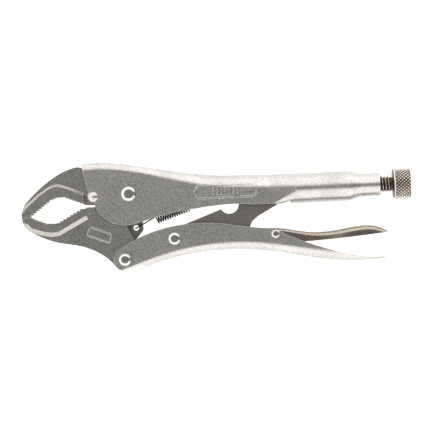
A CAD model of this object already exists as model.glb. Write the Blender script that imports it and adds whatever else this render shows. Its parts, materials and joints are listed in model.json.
"""Curved-jaw locking pliers: materials, fine pieces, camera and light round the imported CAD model.

Everything is in metres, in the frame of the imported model: the tool lies flat on Z = 0, X runs
towards the knob and Y from the lower handle to the upper one.
"""

import json
import math

import bpy
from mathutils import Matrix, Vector


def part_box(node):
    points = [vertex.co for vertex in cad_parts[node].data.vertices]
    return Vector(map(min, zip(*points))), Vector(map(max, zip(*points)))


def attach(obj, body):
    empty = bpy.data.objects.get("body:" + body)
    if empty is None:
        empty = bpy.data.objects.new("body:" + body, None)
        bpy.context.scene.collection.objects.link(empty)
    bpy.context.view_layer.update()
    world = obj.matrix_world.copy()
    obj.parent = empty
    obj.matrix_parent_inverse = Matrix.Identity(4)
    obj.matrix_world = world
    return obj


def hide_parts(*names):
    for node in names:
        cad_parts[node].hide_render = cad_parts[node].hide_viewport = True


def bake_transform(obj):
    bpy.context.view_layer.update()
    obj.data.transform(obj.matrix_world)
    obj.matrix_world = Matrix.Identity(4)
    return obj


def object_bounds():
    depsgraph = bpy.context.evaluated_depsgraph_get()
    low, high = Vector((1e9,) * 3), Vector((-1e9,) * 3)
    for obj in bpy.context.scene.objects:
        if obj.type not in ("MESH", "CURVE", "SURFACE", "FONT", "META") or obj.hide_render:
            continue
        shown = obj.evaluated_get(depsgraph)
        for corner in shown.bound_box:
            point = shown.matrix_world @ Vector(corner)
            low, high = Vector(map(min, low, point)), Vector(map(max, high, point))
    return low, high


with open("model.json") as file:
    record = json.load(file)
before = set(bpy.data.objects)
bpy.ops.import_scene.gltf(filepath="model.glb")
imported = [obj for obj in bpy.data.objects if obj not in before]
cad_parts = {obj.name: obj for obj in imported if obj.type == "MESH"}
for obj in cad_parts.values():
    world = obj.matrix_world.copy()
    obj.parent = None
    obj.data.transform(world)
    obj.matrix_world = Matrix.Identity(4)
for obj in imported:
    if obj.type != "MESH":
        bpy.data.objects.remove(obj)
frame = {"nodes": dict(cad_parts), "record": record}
cad_low, cad_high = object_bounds()

MM = 0.001

# ---- camera: straight down on the tool, turned a little about the vertical ----
VIEW_WIDTH = 277.3 * MM         # what the picture's width covers at the tool's middle plane
VIEW_CENTRE = (-1.2 * MM, -1.9 * MM)
VIEW_TURN = math.radians(-2.7)
CAMERA_HEIGHT = 1.5             # above the middle plane
CAMERA_CLIP = (0.1, 20.0)
SENSOR = 36.0                   # mm

# ---- screw thread and knob ----
THREAD_PITCH = 2.0 * MM
THREAD_DEPTH = 1.15 * MM
THREAD_STEPS = 10               # rings per turn
THREAD_ROOT = 0.12              # share of the wave that stays at the root
THREAD_FLANK = 0.7              # share of the wave that climbs to the crest
THREAD_SHARP = 40               # degrees, above which an edge is shaded sharp
SCREW_AROUND = 56               # points round the screw
PILOT_LENGTH = 8.0 * MM
PILOT_DROP = 1.5 * MM           # from the crest down to the pilot
RUN_OUT = 1.1 * MM              # plain neck between the thread and the knob
KNURL_COUNT = 28                # grooves of each hand round the knob
KNURL_STEPS = 8                 # grid cells per groove
KNURL_DEPTH = 1.1 * MM
KNURL_FLAT = 0.8                # share of a pyramid's height that is left at its tip
KNURL_FADE = 0.5 * MM           # run-in of the grooves behind the collar
KNURL_SHARP = 32
KNOB_COLLAR = 1.4 * MM
KNOB_EDGE = 1.6 * MM
KNOB_EDGE_DROP = 0.75           # share of that length by which the surface falls
STUB_RADIUS = 3.2 * MM
STUB_LENGTH = 8.0 * MM
STUB_FIT = 0.05 * MM

# ---- spring, from the jaw pivot ----
SPRING_START = (17.2 * MM, -17.6 * MM)
SPRING_ANGLE = math.radians(18.5)
SPRING_TURNS = 14
SPRING_PITCH = 1.6 * MM
SPRING_RADIUS = 2.25 * MM
WIRE_RADIUS = 0.42 * MM
POINTS_PER_TURN = 16
LUG_HOLE = (4.5 * MM, -21.9 * MM)
HOOK_SIDE = 2.25 * MM           # the hook's legs, each side of the lug
HOOK_TOE = (-1.6 * MM, -0.6 * MM)       # free end of the front hook, from the hole
HOOK_TURN = (0.4 * MM, 0.2 * MM)        # where it leaves the hole's near side
HOOK_LINE = (                           # share of the way to the coil, height
    (0.3, HOOK_SIDE),
    (0.55, HOOK_SIDE),
    (0.8, HOOK_SIDE * 0.45),
    (0.93, 0.1 * MM),
)
REAR_REACH = 7.25 * MM          # from the coil to the top of the rear hook
REAR_HOOK = 1.75 * MM
WIRE_SHARP = 50


class Nodes:
    """Builds a node tree: inputs are given as constants or as other nodes' sockets."""

    def __init__(self, tree):
        self.tree = tree
        tree.nodes.clear()

    def add(self, kind, inputs=None, **settings):
        made = self.tree.nodes.new(kind)
        for name, value in settings.items():
            setattr(made, name, value)
        for name, value in (inputs or {}).items():
            if isinstance(value, bpy.types.NodeSocket):
                self.tree.links.new(value, made.inputs[name])
            else:
                made.inputs[name].default_value = value
        return made

    def math(self, operation, a, b=0.0, clamp=False):
        made = self.add("ShaderNodeMath", {0: a, 1: b}, operation=operation, use_clamp=clamp)
        return made.outputs[0]

    def ramp(self, value, low, high, to_low=0.0, to_high=1.0):
        """Maps low..high smoothly onto to_low..to_high."""
        made = self.add(
            "ShaderNodeMapRange",
            {"Value": value, "From Min": low, "From Max": high, "To Min": to_low, "To Max": to_high},
            interpolation_type="SMOOTHSTEP")
        return made.outputs["Result"]

    def noise(self, vector, scale, detail=3.0, roughness=0.55, distortion=0.0):
        made = self.add(
            "ShaderNodeTexNoise",
            {"Vector": vector, "Scale": scale, "Detail": detail, "Roughness": roughness,
             "Distortion": distortion})
        return made.outputs["Fac"]

    def mix(self, share, a, b):
        """A colour between a and b."""
        made = self.add("ShaderNodeMix", data_type="RGBA")
        for index, value in ((0, share), (6, a), (7, b)):
            if isinstance(value, bpy.types.NodeSocket):
                self.tree.links.new(value, made.inputs[index])
            elif index:
                made.inputs[index].default_value = (*value, 1.0)
            else:
                made.inputs[index].default_value = value
        return made.outputs[2]


# ---- materials ----
GRAIN_SCALE = 1900.0            # fine grain of the plating, about 0.5 mm
PIT_SCALE = 800.0
STAIN_SCALE = 45.0              # handling marks, about 20 mm
EDGE_RADIUS = 0.35 * MM         # rounding of sharp edges in the shading
FINE_EDGE = 0.06 * MM           # the same on thread and knurl
CREVICE = 2.2 * MM
GRIME = (0.6, 0.75)              # least and most dirt in a corner
DULL_STEP = 0.3 * MM            # width over which a recess or groove turns dull
RECESS_DULL = 0.45
GROOVE_DULL = 0.97
PIT_BUMP = 0.014 * MM
GRAIN_BUMP = 0.008 * MM
MIDDLE = (cad_low.z + cad_high.z) / 2


def plated_steel(name, colour, dirt, roughness, grain=1.0, mottle=0.12, edge_radius=EDGE_RADIUS,
                 dull_below=None, dull_inside=None):
    """Plated or blackened steel: grain, pits, handling marks, worn edges and dirt in corners.

    The surface is dull where it is nearer the middle plane than dull_below, or nearer a node's
    axis than dull_inside = (node, radius).
    """
    material = bpy.data.materials.new(name)
    material.use_nodes = True
    n = Nodes(material.node_tree)
    where = n.add("ShaderNodeTexCoord").outputs["Object"]
    fine = n.noise(where, GRAIN_SCALE, 4.0, 0.6)
    pits = n.noise(where, PIT_SCALE, 5.0, 0.65, 0.3)
    stain = n.noise(where, STAIN_SCALE, 3.0, 0.5, 0.6)

    rounded = n.add("ShaderNodeBevel", {"Radius": edge_radius}, samples=4).outputs["Normal"]
    flat = n.add("ShaderNodeNewGeometry").outputs["Normal"]
    facing = n.add("ShaderNodeVectorMath", {0: rounded, 1: flat}, operation="DOT_PRODUCT")
    edge = n.ramp(facing.outputs["Value"], 0.995, 0.90)
    worn = n.math("MULTIPLY", edge, n.ramp(pits, 0.35, 0.6))

    open_air = n.add("ShaderNodeAmbientOcclusion", {"Distance": CREVICE}, samples=4)
    corner = n.ramp(open_air.outputs["AO"], 0.6, 0.2)
    dirty = n.math("MULTIPLY", corner, n.ramp(stain, 0.2, 0.7, *GRIME), clamp=True)

    if dull_below is not None:
        height = n.add("ShaderNodeSeparateXYZ", {0: where}).outputs["Z"]
        off_middle = n.math("ABSOLUTE", n.math("SUBTRACT", height, MIDDLE))
        recessed = n.ramp(
            off_middle, dull_below + DULL_STEP, dull_below - DULL_STEP, 0.0, RECESS_DULL)
        dirty = n.math("MAXIMUM", dirty, recessed)
    if dull_inside is not None:
        node, radius = dull_inside
        low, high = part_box(node)
        from_axis = n.add(
            "ShaderNodeVectorMath", {0: where, 1: (low + high) / 2}, operation="SUBTRACT")
        across = n.add(
            "ShaderNodeVectorMath", {0: from_axis.outputs[0], 1: (0.0, 1.0, 1.0)},
            operation="MULTIPLY")
        distance = n.add("ShaderNodeVectorMath", {0: across.outputs[0]}, operation="LENGTH")
        groove = n.ramp(distance.outputs["Value"], radius, radius - DULL_STEP, 0.0, GROOVE_DULL)
        dirty = n.math("MAXIMUM", dirty, groove)

    dark = tuple(c * (1 - mottle) for c in colour)
    light = tuple(min(c * (1 + mottle), 1.0) for c in colour)
    speckle = n.math("ADD", n.math("MULTIPLY", fine, 0.55), n.math("MULTIPLY", pits, 0.45))
    base = n.mix(n.ramp(speckle, 0.36, 0.64), dark, light)
    base = n.mix(n.ramp(stain, 0.35, 0.75, 0.0, 0.12), base, dirt)
    base = n.mix(dirty, base, dirt)
    base = n.mix(n.math("MULTIPLY", worn, 0.7), base, light)

    rough = n.ramp(speckle, 0.3, 0.7, roughness - 0.04, roughness + 0.04)
    rough = n.math("ADD", rough, n.ramp(stain, 0.3, 0.8, -0.02, 0.03))
    rough = n.math("SUBTRACT", rough, n.math("MULTIPLY", worn, 0.08))

    pitted = n.add(
        "ShaderNodeBump", {"Height": pits, "Normal": rounded, "Strength": 0.5 * grain,
                           "Distance": PIT_BUMP})
    grained = n.add(
        "ShaderNodeBump", {"Height": fine, "Normal": pitted.outputs["Normal"],
                           "Strength": 0.5 * grain, "Distance": GRAIN_BUMP})
    shader = n.add(
        "ShaderNodeBsdfPrincipled",
        {"Base Color": base, "Roughness": rough, "Metallic": 1.0, "Normal": grained.outputs["Normal"]})
    n.add("ShaderNodeOutputMaterial", {"Surface": shader.outputs[0]})
    return material


DIRT = (0.075, 0.058, 0.045)
OIL = (0.03, 0.025, 0.02)

MATERIALS = {
    "handle_steel": plated_steel("satin_nickel_sheet", (0.58, 0.568, 0.542), DIRT, 0.31, 1.2, 0.22),
    "jaw_steel": plated_steel("satin_nickel_forging", (0.42, 0.41, 0.385), DIRT, 0.31, 1.3, 0.24,
                              dull_below=2.5 * MM),
    "link_steel": plated_steel("dark_forging", (0.25, 0.24, 0.222), DIRT, 0.38, 1.3),
    "lever_steel": plated_steel("lever_nickel", (0.40, 0.345, 0.30), DIRT, 0.25, 0.8),
    "rivet_steel": plated_steel("polished_rivet", (0.66, 0.645, 0.62), DIRT, 0.23, 0.5, 0.08),
    "screw_steel": plated_steel("warm_nickel_thread", (0.46, 0.39, 0.33), DIRT, 0.27, 0.6,
                                edge_radius=FINE_EDGE, dull_inside=("adjusting_screw", 5.1 * MM)),
    "knob_steel": plated_steel("warm_nickel_knurl", (0.78, 0.72, 0.65), DIRT, 0.25, 0.5,
                               edge_radius=FINE_EDGE, dull_inside=("adjusting_knob", 9.88 * MM)),
    "spring_wire": plated_steel("oil_black_wire", (0.085, 0.082, 0.08), OIL, 0.32, 0.7,
                                edge_radius=FINE_EDGE),
}


def finish_cad_nodes():
    """Gives every CAD node the material of its slot in the record."""
    slots = {part["node"]: part["material_slot"] for part in frame["record"]["subparts"]}
    for name, piece in frame["nodes"].items():
        material = MATERIALS[slots[name]]
        if not piece.material_slots:
            piece.data.materials.append(material)
        for place in piece.material_slots:
            place.material = material


# ---- mesh pieces ----
def mesh_piece(name, points, faces, material, sharp):
    """A mesh object in the scene, shaded smooth up to an angle of sharp degrees."""
    mesh = bpy.data.meshes.new(name)
    mesh.from_pydata(points, [], faces)
    mesh.validate()
    mesh.update()
    for face in mesh.polygons:
        face.use_smooth = True
    mesh.set_sharp_from_angle(angle=math.radians(sharp))
    mesh.materials.append(MATERIALS[material])
    piece = bpy.data.objects.new(name, mesh)
    bpy.context.scene.collection.objects.link(piece)
    return piece


def turned(rings, around, axis_y, axis_z):
    """Points and faces of a closed turned shape: each ring is (x, radius as a function of angle)."""
    points = []
    for x, radius in rings:
        for i in range(around):
            angle = 2 * math.pi * i / around
            r = radius(angle)
            points.append((x, axis_y + r * math.cos(angle), axis_z + r * math.sin(angle)))
    faces = []
    for ring in range(len(rings) - 1):
        a, b = ring * around, (ring + 1) * around
        for i in range(around):
            j = (i + 1) % around
            faces.append((a + i, b + i, b + j, a + j))
    first, last = len(points), len(points) + 1
    points += [(rings[0][0], axis_y, axis_z), (rings[-1][0], axis_y, axis_z)]
    end = (len(rings) - 1) * around
    for i in range(around):
        j = (i + 1) % around
        faces.append((first, i, j))
        faces.append((last, end + j, end + i))
    return points, faces


def plain(radius):
    return lambda angle: radius


def triangle_wave(t):
    """0 at whole numbers and 1 half way between them."""
    return 1 - abs(2 * (t % 1.0) - 1)


def threaded_screw():
    """The screw with a real helical thread, its plain pilot and the stub inside the knob."""
    low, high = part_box("adjusting_screw")
    knob_low, knob_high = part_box("adjusting_knob")
    y, z = (low.y + high.y) / 2, (low.z + high.z) / 2
    crest = (high.y - low.y) / 2
    root = crest - THREAD_DEPTH
    pilot = crest - PILOT_DROP
    start, end = low.x + PILOT_LENGTH, knob_low.x - RUN_OUT

    def thread(x):
        fade_in = min((x - start) / THREAD_PITCH, 1.0)
        fade_out = min((end - x) / (THREAD_PITCH / 2), 1.0)

        def radius(angle):
            wave = triangle_wave(x / THREAD_PITCH - angle / (2 * math.pi))
            lift = min(max((wave - THREAD_ROOT) / THREAD_FLANK, 0.0), 1.0)
            return root + THREAD_DEPTH * lift * max(min(fade_in, fade_out), 0.0)
        return radius

    rings = [(low.x, plain(pilot - 1.0 * MM)), (low.x + 0.3 * MM, plain(pilot - 0.4 * MM)),
             (low.x + 1.0 * MM, plain(pilot)), (start - 0.6 * MM, plain(pilot))]
    steps = int((end - start) / THREAD_PITCH * THREAD_STEPS)
    for i in range(steps + 1):
        x = start + (end - start) * i / steps
        rings.append((x, thread(x)))
    rings += [(knob_low.x - 0.3 * MM, plain(root)), (knob_low.x, plain(root + 0.3 * MM)),
              (knob_low.x, plain(STUB_RADIUS)), (knob_low.x + STUB_LENGTH, plain(STUB_RADIUS))]
    points, faces = turned(rings, SCREW_AROUND, y, z)
    piece = mesh_piece("threaded_screw", points, faces, "screw_steel", THREAD_SHARP)
    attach(piece, "screw")
    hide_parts("adjusting_screw")


def knurled_knob():
    """The knob with two crossing hands of V grooves, a plain collar and a dished rear face."""
    low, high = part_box("adjusting_knob")
    y, z = (low.y + high.y) / 2, (low.z + high.z) / 2
    outer = (high.y - low.y) / 2
    around = KNURL_COUNT * KNURL_STEPS
    cell = 2 * math.pi * outer / around
    bore = STUB_RADIUS + STUB_FIT
    collar_end = low.x + KNOB_COLLAR
    knurl_end = high.x - KNOB_EDGE
    edge_drop = KNOB_EDGE * KNOB_EDGE_DROP

    def knurl(x, surface):
        """The surface radius less the grooves, which fade in behind the collar."""
        fade = min((x - collar_end) / KNURL_FADE, 1.0)

        def radius(angle):
            along = (x - collar_end) / cell / KNURL_STEPS
            turn = angle / (2 * math.pi) * KNURL_COUNT
            height = min(triangle_wave(along + turn + 0.5), triangle_wave(along - turn + 0.5))
            return surface - KNURL_DEPTH * fade * (1 - min(height / KNURL_FLAT, 1.0))
        return radius

    back = low.x + STUB_LENGTH + STUB_FIT
    rings = [(back, plain(bore)), (low.x, plain(bore)),
             (low.x, plain(outer - KNOB_COLLAR - 0.3 * MM)),
             (low.x + 0.15 * MM, plain(outer - KNOB_COLLAR)),
             (collar_end - 0.35 * MM, plain(outer - 0.35 * MM)),
             (collar_end - 0.1 * MM, plain(outer - 0.3 * MM))]
    steps = round((high.x - collar_end) / cell)
    for i in range(steps + 1):
        x = collar_end + (high.x - collar_end) * i / steps
        over = max((x - knurl_end) / KNOB_EDGE, 0.0)
        surface = outer - edge_drop * (1 - math.sqrt(max(1 - over * over, 0.0)))
        rings.append((x, knurl(x, surface)))
    face = outer - edge_drop - KNURL_DEPTH
    rings += [(high.x, plain(face - 0.5 * MM)), (high.x - 0.45 * MM, plain(face - 1.1 * MM)),
              (high.x - 0.5 * MM, plain(face - 3.5 * MM)), (high.x - 0.15 * MM, plain(2.4 * MM)),
              (high.x - 0.1 * MM, plain(1.2 * MM))]
    points, faces = turned(rings, around, y, z)
    piece = mesh_piece("knurled_knob", points, faces, "knob_steel", KNURL_SHARP)
    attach(piece, "knob")
    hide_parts("adjusting_knob")


def coil_spring():
    """One bent wire: long front hook through the lug's hole, the coil, and the rear hook."""
    low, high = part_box("jaw_rivet")
    pivot = (low + high) / 2
    cos, sin = math.cos(SPRING_ANGLE), math.sin(SPRING_ANGLE)

    def at(along, across, height):
        x = SPRING_START[0] + along * cos - across * sin
        y = SPRING_START[1] + along * sin + across * cos
        return pivot + Vector((x, y, height))

    hole = pivot + Vector((*LUG_HOLE, 0))
    path = [hole + Vector((*HOOK_TOE, -HOOK_SIDE))]
    for share in (-1.0, -0.6, 0.0, 0.6):
        path.append(hole + Vector((0, 0, HOOK_SIDE * share)))
    path.append(hole + Vector((*HOOK_TURN, HOOK_SIDE)))
    for share, height in HOOK_LINE:
        path.append(hole.lerp(at(0, SPRING_RADIUS, 0), share) + Vector((0, 0, height)))
    for i in range(SPRING_TURNS * POINTS_PER_TURN + 1):
        turn = i / POINTS_PER_TURN
        angle = 2 * math.pi * turn
        across, height = SPRING_RADIUS * math.cos(angle), SPRING_RADIUS * math.sin(angle)
        path.append(at(turn * SPRING_PITCH, across, height))
    coil_end = SPRING_TURNS * SPRING_PITCH
    rear = coil_end + REAR_REACH
    path += [at(coil_end + 2.0 * MM, SPRING_RADIUS, 0), at(rear - 1.2 * MM, REAR_HOOK, 0),
             at(rear, REAR_HOOK, 0), at(rear, 0.5 * MM, 0), at(rear, -1.1 * MM, 0)]

    curve = bpy.data.curves.new("spring_path", "CURVE")
    curve.dimensions = "3D"
    curve.bevel_depth = WIRE_RADIUS
    curve.bevel_resolution = 3
    curve.use_fill_caps = True
    spline = curve.splines.new("NURBS")
    spline.points.add(len(path) - 1)
    for point, place in zip(spline.points, path):
        point.co = (*place, 1.0)
    spline.order_u = 3
    spline.use_endpoint_u = True
    spline.resolution_u = 2
    drawn = bpy.data.objects.new("spring_path", curve)
    bpy.context.scene.collection.objects.link(drawn)
    bpy.context.view_layer.update()
    evaluated = drawn.evaluated_get(bpy.context.evaluated_depsgraph_get())
    shape = bpy.data.meshes.new_from_object(evaluated)
    bpy.data.objects.remove(drawn)
    points = [tuple(v.co) for v in shape.vertices]
    faces = [tuple(p.vertices) for p in shape.polygons]
    piece = mesh_piece("coil_spring", points, faces, "spring_wire", WIRE_SHARP)
    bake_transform(piece)
    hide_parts("jaw_spring")


# ---- studio ----
FLOOR_SIZE = 24.0
FLOOR_GLOW = 0.95               # the floor is a light table
FLOOR_DARK = (0.34, 0.34, 0.338)
FLOOR_LIGHT = (0.37, 0.37, 0.37)
FLOOR_GAP = 0.05 * MM           # below the tool
SKY_BRIGHT = 1.7
SKY_DARK = 0.17
SKY_COLOUR = (1.0, 0.985, 0.965)
SLOT_SIDE = (0.16, 0.44)        # where the dim slot turns bright, as a share of the radius
SLOT_LEFT = (0.22, 0.5)
BACKDROP = 0.95                 # the sky as the camera sees it


def floor():
    material = bpy.data.materials.new("pale_floor")
    material.use_nodes = True
    n = Nodes(material.node_tree)
    where = n.add("ShaderNodeTexCoord").outputs["Object"]
    tone = n.mix(n.ramp(n.noise(where, 9.0), 0.3, 0.7), FLOOR_DARK, FLOOR_LIGHT)
    shader = n.add("ShaderNodeBsdfPrincipled",
                   {"Base Color": tone, "Roughness": 0.7, "Specular IOR Level": 0.2,
                    "Emission Color": (1.0, 1.0, 1.0, 1.0), "Emission Strength": FLOOR_GLOW})
    n.add("ShaderNodeOutputMaterial", {"Surface": shader.outputs[0]})
    half = FLOOR_SIZE / 2
    mesh = bpy.data.meshes.new("floor")
    mesh.from_pydata([(-half, -half, 0), (half, -half, 0), (half, half, 0), (-half, half, 0)], [],
                     [(0, 1, 2, 3)])
    mesh.materials.append(material)
    ground = bpy.data.objects.new("floor", mesh)
    ground.location.z = cad_low.z - FLOOR_GAP
    bpy.context.scene.collection.objects.link(ground)


def studio_light():
    """A white tent with a dim slot overhead that runs down to the right."""
    world = bpy.data.worlds.new("light_tent")
    bpy.context.scene.world = world
    world.use_nodes = True
    n = Nodes(world.node_tree)
    direction = n.add("ShaderNodeTexCoord").outputs["Generated"]
    split = n.add("ShaderNodeSeparateXYZ", {0: direction})
    x, y = split.outputs["X"], split.outputs["Y"]
    beside = n.ramp(n.math("ABSOLUTE", y), *SLOT_SIDE)
    left = n.ramp(n.math("MULTIPLY", x, -1.0), *SLOT_LEFT)
    tent = n.math("MAXIMUM", beside, left)
    level = n.ramp(tent, 0.0, 1.0, SKY_DARK, SKY_BRIGHT)
    lit = n.add("ShaderNodeBackground", {"Color": (*SKY_COLOUR, 1.0), "Strength": level})
    seen = n.add("ShaderNodeBackground", {"Color": (1.0, 1.0, 1.0, 1.0), "Strength": BACKDROP})
    ray = n.add("ShaderNodeLightPath").outputs["Is Camera Ray"]
    both = n.add("ShaderNodeMixShader", {0: ray, 1: lit.outputs[0], 2: seen.outputs[0]})
    n.add("ShaderNodeOutputWorld", {"Surface": both.outputs[0]})


def camera():
    data = bpy.data.cameras.new("camera")
    data.sensor_width = SENSOR
    data.lens = SENSOR * CAMERA_HEIGHT / VIEW_WIDTH
    data.clip_start, data.clip_end = CAMERA_CLIP
    made = bpy.data.objects.new("camera", data)
    made.location = (*VIEW_CENTRE, MIDDLE + CAMERA_HEIGHT)
    made.rotation_euler = (0.0, 0.0, VIEW_TURN)
    bpy.context.scene.collection.objects.link(made)
    bpy.context.scene.camera = made


camera()
studio_light()
floor()
finish_cad_nodes()
threaded_screw()
knurled_knob()
coil_spring()
bpy.context.scene.view_settings.view_transform = "Standard"
